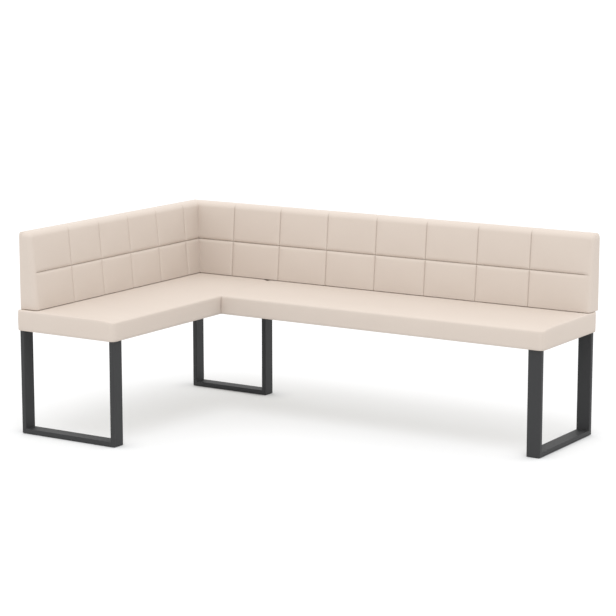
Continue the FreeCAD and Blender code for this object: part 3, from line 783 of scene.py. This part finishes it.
# %% Build a back
back_pitch, depth_pitch, pad_pitch = 11 * MM, 9 * MM, 14 * MM
round_steps = np.linspace(0, 1, 7)
after_round = np.array([0.6, 1.3]) * MM
seam_offsets = np.array([0, 0.7, 1.5, 2.6, 4.5, 7.5, 11, 15]) * MM
pad_offsets = np.array([0, 7]) * MM
rear_radius, foot_radius, roll_radius = 7 * MM, 4 * MM, 24 * MM
front_blend = (10 * MM, 45 * MM)
seam_runout = (8 * MM, 44 * MM)
seam_hold = 2 * MM
back_pressure = 2.5
pucker_shift = 0.37
hug_most, hug_run = 22 * MM, 90 * MM
lean_start, lean_run = 14 * MM, 36 * MM
press_margin = 8 * MM


class Back:
    """One back in its own directions, with what is needed to place its front, stitches and panel.
    The long back hugs the short one, whose upright seams are flatter and carry paler painted shade."""

    def __init__(self, name, span, end_radii, rear_end_radii, seams, pressed_from, hugs, to_bench):
        self.name, self.seams, self.to_bench = name, seams, to_bench
        # Strength of the painted shade in the upright and level seams, paler on the short back.
        self.upright_mark, self.level_shade = (0.6, 1.0) if hugs else (0.25, 0.75)
        self.upright_stitch = upright_stitch * (1.0 if hugs else 0.5)
        self.pressed_from, self.hugs = pressed_from, hugs
        self.low = np.array([span[0], 0, back_of_long[0][2]])
        self.high = np.array([span[1], back_thickness - front_inset, back_of_long[1][2]])
        self.end_radii, self.rear_end_radii = np.array(end_radii), np.array(rear_end_radii)
        self.low_radii = np.array([end_radii[0], rear_radius, foot_radius])
        self.high_radii = np.array([end_radii[1], roll_radius, roll_radius])

    def lines(self, axis, pitch, seams, offsets):
        """Lines along one direction: roundings, seams and the flat between."""
        low, high = self.low[axis], self.high[axis]
        start = low + self.low_radii[axis] * round_steps
        end = high - self.high_radii[axis] * round_steps
        flat = spread(start[-1], end[-1], pitch)
        start = np.append(start, start[-1] + after_round)
        if len(seams):
            away = np.abs(flat[:, None] - np.asarray(seams)[None, :]).min(axis=1)
            flat = np.append(flat[away >= offsets[-1] + pitch / 3], crowd(seams, offsets))
        return sorted_lines(start, end, flat)

    def seam_distances(self, u, z):
        """Distances to the nearest upright seam and to the level one, and the upright one's number."""
        across = np.abs(u[:, None] - self.seams[None, :])
        return across.min(axis=1), np.abs(z - level_seam), across.argmin(axis=1)

    def swelling(self):
        """How far the pads of the front swell, on a grid of u and z."""
        us = self.lines(0, pad_pitch, self.seams, pad_offsets)
        zs = self.lines(2, pad_pitch, [level_seam], pad_offsets)
        named, points, quads = lattice_points(us, np.array([self.low[1], self.high[1]]), zs)
        across, above = self.seam_distances(points[:, 0], points[:, 2])[:2]
        front = named[:, 1] == 1
        low, high = self.low + self.low_radii + MM, self.high - self.high_radii - MM
        rim = ((points[:, 0] < low[0]) | (points[:, 0] > min(high[0], self.pressed_from))
               | (points[:, 2] < low[2]) | (points[:, 2] > high[2]))
        held = ~front | rim | (across < seam_hold) | (above < seam_hold)
        moved = swell(points, quads, held, back_pressure)[:, 1]
        lift = np.zeros((len(us), len(zs)))
        lift[named[front][:, 0], named[front][:, 2]] = moved[front]
        print(self.name, "cloth lift, mm:", round(float(lift.max()) / MM, 2))
        return us, zs, lift * pad_lift / max(float(lift.max()), MM)

    def level_share(self, u):
        """The level seam runs out softly towards the back's open end."""
        return smooth_step(*seam_runout, self.high[0] - u if self.hugs else u - self.low[0])

    def front_shift(self, u, z):
        """How far the front stands out from the plain slab: swollen pads, channels and fine puckers.
        Each upright seam takes its puckers from another part of the wave."""
        across, above, nearest = self.seam_distances(u, z)
        depth = np.maximum(seam_depth(across, upright_roll, self.upright_stitch),
                           seam_depth(above, level_roll, level_stitch) * self.level_share(u))
        pucker = puckers(z + nearest * pucker_shift, across, seed=3) + puckers(u, above, seed=5)
        return between(*self.pads, u, z) + pucker_height * pucker - depth

    def settle(self, points):
        """Lean the front, bring the inner end against the other back, and go to the bench's place.
        The front moves back by its height times the slope. The inner end moves by the other back's
        lean and by the inset of its quarter round, less and less with the distance from the end."""
        points = points.copy()
        lean = (points[:, 2] - self.low[2]) * lean_slope
        if self.hugs:
            top_inset = quarter_drop(self.high[2] - points[:, 2], self.high_radii[2])
            near_end = 1 - smooth_step(0, hug_run, points[:, 0] - self.low[0])
            points[:, 0] -= (lean + np.minimum(top_inset, hug_most)) * near_end
        points[:, 1] -= lean * np.clip((points[:, 1] - lean_start) / lean_run, 0, 1)
        return self.to_bench(points)

    def build(self, *replaced):
        """The finished skin, with the strength of the painted seam shade stored on it for the finish."""
        self.pads = self.swelling()
        us = self.lines(0, back_pitch, self.seams, seam_offsets)
        vs = self.lines(1, depth_pitch, [], seam_offsets)
        zs = self.lines(2, back_pitch, [level_seam], seam_offsets)
        points, quads = lattice_points(us, vs, zs)[1:]
        front_share = smooth_step(*front_blend, points[:, 1])[:, None]
        end_radii = self.rear_end_radii + (self.end_radii - self.rear_end_radii) * front_share
        low_radii, high_radii = (np.tile(radii, (len(points), 1))
                                 for radii in (self.low_radii, self.high_radii))
        low_radii[:, 0], high_radii[:, 0] = end_radii.T
        points, facing = round_slab(points, self.low, self.high, low_radii, high_radii)
        frontal = np.clip(facing[:, 1], 0, 1) ** 3
        points[:, 1] += self.front_shift(points[:, 0], points[:, 2]) * frontal
        across, above = self.seam_distances(points[:, 0], points[:, 2])[:2]
        # Painted shade along the seams, strongest under the threads and fading a few millimetres beside them.
        level_shade = self.level_shade * groove(above) * self.level_share(points[:, 0])
        mark = np.maximum(self.upright_mark * groove(across), level_shade)
        piece = mesh_object(self.name, self.settle(points), quads[:, ::-1])
        attribute = piece.data.attributes.new(SEAM_SHADE_ATTRIBUTE, "FLOAT", "POINT")
        attribute.data.foreach_set("value", (mark * frontal).astype(np.float32))
        dress(piece, "upholstery", leather, *replaced)


def long_place(points):
    """From the long back's own directions to the bench's."""
    return np.stack([short_face + points[:, 0], back_of_long[1][1] - points[:, 1], points[:, 2]], axis=1)


def short_place(points):
    """From the short back's own directions to the bench's."""
    return np.stack([back_of_short[0][0] + points[:, 1], short_end + points[:, 0], points[:, 2]], axis=1)


long_back = Back("long_back", span=(-4 * MM, long_length), end_radii=(1 * MM, 14 * MM),
                 rear_end_radii=(3 * MM, 12 * MM), seams=long_seams, pressed_from=long_length,
                 hugs=True, to_bench=long_place)
short_back = Back("short_back", span=(0, short_length), end_radii=(22 * MM, 10 * MM),
                  rear_end_radii=(4 * MM, 10 * MM), seams=short_seams,
                  pressed_from=long_face - short_end - press_margin,
                  hugs=False, to_bench=short_place)
long_back.build("long_back_quilted_cover", "long_back_foam")
short_back.build("short_back_quilted_cover", "short_back_foam")

# %% [markdown]
# ### Stitches
# The seams are sewn with a thread of the cover's own colour. Each stitch is a tiny rod with
# rounded ends that sinks into the cover where the needle went. One ring formula makes a
# single stitch, and the array of all places carries copies of it.

# %% Sew the seams
stitch_pitch = 6 * MM
stitch_length = 4.6 * MM
thread_radius, thread_lift, thread_sink = 0.45 * MM, 0.25 * MM, 0.5 * MM
ring_points, stitch_rings = 6, 6
hug_margin, open_margin, foot_margin, top_margin = 5 * MM, 32 * MM, 14 * MM, 26 * MM


def stitch_form():
    """One stitch along u: rings whose radius is that of a rod with round ends, sunk at both ends.
    Returns points as (along, out, sideways) and quads."""
    t = np.linspace(-1, 1, stitch_rings)
    angle = np.arange(ring_points) * 2 * math.pi / ring_points
    radius = thread_radius * np.sqrt(np.maximum(1 - t ** 6, 0.02))
    along = np.repeat(t * stitch_length / 2, ring_points)
    out = (radius[:, None] * np.cos(angle)[None, :] - thread_sink * (t ** 4)[:, None]).ravel()
    sideways = (radius[:, None] * np.sin(angle)[None, :]).ravel()
    row = np.arange(stitch_rings - 1)[:, None] * ring_points
    column = np.arange(ring_points)[None, :]
    following = (column + 1) % ring_points
    quads = np.stack([row + column, row + following, row + ring_points + following,
                      row + ring_points + column], axis=2).reshape(-1, 4)
    caps = np.array([[0, 5, 4, 3], [0, 3, 2, 1]])
    last = (stitch_rings - 1) * ring_points
    return np.stack([along, out, sideways], axis=1), np.concatenate([quads, caps, last + caps[:, ::-1]])


def sew(back, name):
    """All stitches of one back, in its channels."""
    form, quads = stitch_form()
    first = back.low[0] + (hug_margin if back.hugs else open_margin)
    us = np.arange(first, min(back.high[0] - open_margin, back.pressed_from), stitch_pitch)
    level = np.stack([us, np.full_like(us, level_seam)], axis=1)
    zs = np.arange(back.low[2] + foot_margin, back.high[2] - top_margin, stitch_pitch)
    zs = zs[np.abs(zs - level_seam) > stitch_pitch / 2]
    upright = np.stack(np.meshgrid(back.seams, zs, indexing="ij"), axis=2).reshape(-1, 2)
    points, faces, start = [], [], 0
    for places, turned in ((level, False), (upright, True)):
        for_u, for_z = (2, 0) if turned else (0, 2)
        u = places[:, :1] + form[None, :, for_u]
        z = places[:, 1:] + form[None, :, for_z]
        channel = back.high[1] + back.front_shift(places[:, 0], places[:, 1])
        v = channel[:, None] + thread_lift + form[None, :, 1]
        points.append(np.stack([u, v, z], axis=2).reshape(-1, 3))
        first_points = start + np.arange(len(places))[:, None, None] * len(form)
        faces.append((first_points + (quads if turned else quads[:, ::-1])).reshape(-1, 4))
        start += len(places) * len(form)
    points = np.concatenate(points)
    piece = mesh_object(name, back.settle(points), np.concatenate(faces))
    print(name, "stitches:", len(points) // len(form))
    dress(piece, "upholstery", leather)


sew(long_back, "long_back_stitches")
sew(short_back, "short_back_stitches")

# %% [markdown]
# ### Rear panels
# The rear of each back is closed by a plain panel of the same cover, pulled over a thin strip
# and pressed on last, so its edge is rolled and its middle lies a little proud.


# %% Build the rear panels
panel_pitch = 20 * MM
panel_inner, panel_outer = 2 * MM, 1.6 * MM
panel_radius = 1.5 * MM
panel_puff = 1.4 * MM


def rear_panel(back, name, node):
    """Thin rounded slab over the panel's place, swollen as the product of two half sine waves."""
    low, high = corners(node)
    along = 0 if back is long_back else 1
    start = low[along] - (short_face, short_end)[along]
    length = high[along] - low[along]
    lower = np.array([start, -panel_outer, low[2]])
    upper = np.array([start + length, panel_inner, high[2]])
    steps = panel_radius * np.linspace(0, 1, 4)
    us, zs = (sorted_lines(lower[axis] + steps, upper[axis] - steps,
                           spread(lower[axis], upper[axis], panel_pitch), apart=0.3 * MM)
              for axis in (0, 2))
    points, quads = lattice_points(us, np.linspace(lower[1], upper[1], 5), zs)[1:]
    radii = np.full(3, panel_radius)
    points, facing = round_slab(points, lower, upper, radii, radii)
    share_u = (points[:, 0] - lower[0]) / length
    share_z = (points[:, 2] - lower[2]) / (upper[2] - lower[2])
    puff = np.clip(np.sin(math.pi * share_u) * np.sin(math.pi * share_z), 0, 1) ** 0.4
    points[:, 1] -= panel_puff * puff * np.clip(-facing[:, 1], 0, 1)
    piece = mesh_object(name, back.to_bench(points), quads[:, ::-1])
    dress(piece, "upholstery", leather, node)


rear_panel(long_back, "long_back_rear_panel", "long_back_rear_cover")
rear_panel(short_back, "short_back_rear_panel", "short_back_rear_cover")

# %% [markdown]
# ## Studio
# The bench stands on a white floor under an even sky, with one broad soft sun from nearly
# overhead that gives the seats' tops their light and the floor a faint shadow. To the camera
# the floor is darker and adds light of its own, so that it reads as white and keeps a wide,
# pale shadow, while it reflects as much light onto the bench as a pale floor does. Close to
# the runners its own light fades, so that they stand on a dark line.


# %% Floor
BLACK = (0.0, 0.0, 0.0, 1.0)
contact_reach = 0.12


def studio_floor():
    half = 120.0
    points = np.array([[-half, -half, 0], [half, -half, 0], [half, half, 0], [-half, half, 0]])
    floor = mesh_object("floor", points, np.array([[0, 1, 2, 3]]))
    finish = Finish("white_floor")
    camera_ray, glossy_ray = (finish.node("ShaderNodeLightPath", {}, {}, ray)
                              for ray in ("Is Camera Ray", "Is Glossy Ray"))
    seen = camera_ray.maths("MAXIMUM", camera_ray, glossy_ray)
    # The seen tone is cooler than the glow, so the floor's shadows come out warm: a painted warm tint in the
    # shadow.
    tone_for_light, tone_seen = (0.68, 0.68, 0.68, 1.0), (0.437, 0.45, 0.475, 1.0)
    glow_seen = (0.47, 0.455, 0.423, 1.0)
    tone = finish.blend(seen, tone_for_light, tone_seen)
    clear = finish.node("ShaderNodeAmbientOcclusion", {"samples": 8}, {"Distance": contact_reach}, "AO")
    glow = finish.blend(seen, BLACK, finish.blend(clear, BLACK, glow_seen))
    finish.set(Base_Color=tone, Roughness=0.95, Specular_IOR_Level=0.0,
               Emission_Color=glow, Emission_Strength=1.0)
    floor.data.materials.append(finish.material)


studio_floor()


# %% Sky and sun
def studio_sky(strength):
    """White sky that lights with its strength and looks plain white to the camera."""
    world = bpy.data.worlds.new("studio")
    world.use_nodes = True
    bpy.context.scene.world = world
    nodes, links = world.node_tree.nodes, world.node_tree.links
    path = nodes.new("ShaderNodeLightPath")
    amount = nodes.new("ShaderNodeMapRange")
    amount.inputs["To Min"].default_value = strength
    amount.inputs["To Max"].default_value = 1.0
    links.new(path.outputs["Is Camera Ray"], amount.inputs[0])
    background = nodes["Background"]
    background.inputs["Color"].default_value = (1.0, 1.0, 1.0, 1.0)
    links.new(amount.outputs[0], background.inputs["Strength"])


def soft_sun(name, strength, direction, spread_degrees):
    """A sun whose light travels along direction, with edges softened by its apparent size."""
    lamp = bpy.data.lights.new(name, "SUN")
    lamp.energy = strength
    lamp.angle = math.radians(spread_degrees)
    sun = bpy.data.objects.new(name, lamp)
    sun.rotation_euler = Vector(direction).to_track_quat("-Z", "Y").to_euler()
    bpy.context.scene.collection.objects.link(sun)


studio_sky(1.3)
soft_sun("key", 0.8, (-0.18, 0.3, -1.0), 28)

# %% [markdown]
# ## Camera
# The camera looks down by ten degrees from nine metres away, to the right of the bench,
# through a long lens, as the edges of the bench show.

# %% Camera
camera_azimuth = math.radians(32.349)
camera_fall = math.radians(10.189)
camera_data = bpy.data.cameras.new("camera")
camera_data.lens = 126.5
camera_data.sensor_width = 36.0
camera_data.clip_end = 400.0
camera = bpy.data.objects.new("camera", camera_data)
camera.location = (4.7290, -7.46315, 2.1230)
camera.rotation_euler = (math.pi / 2 - camera_fall, 0.0, camera_azimuth)
bpy.context.scene.collection.objects.link(camera)
bpy.context.scene.camera = camera
bpy.context.scene.view_settings.view_transform = "Standard"
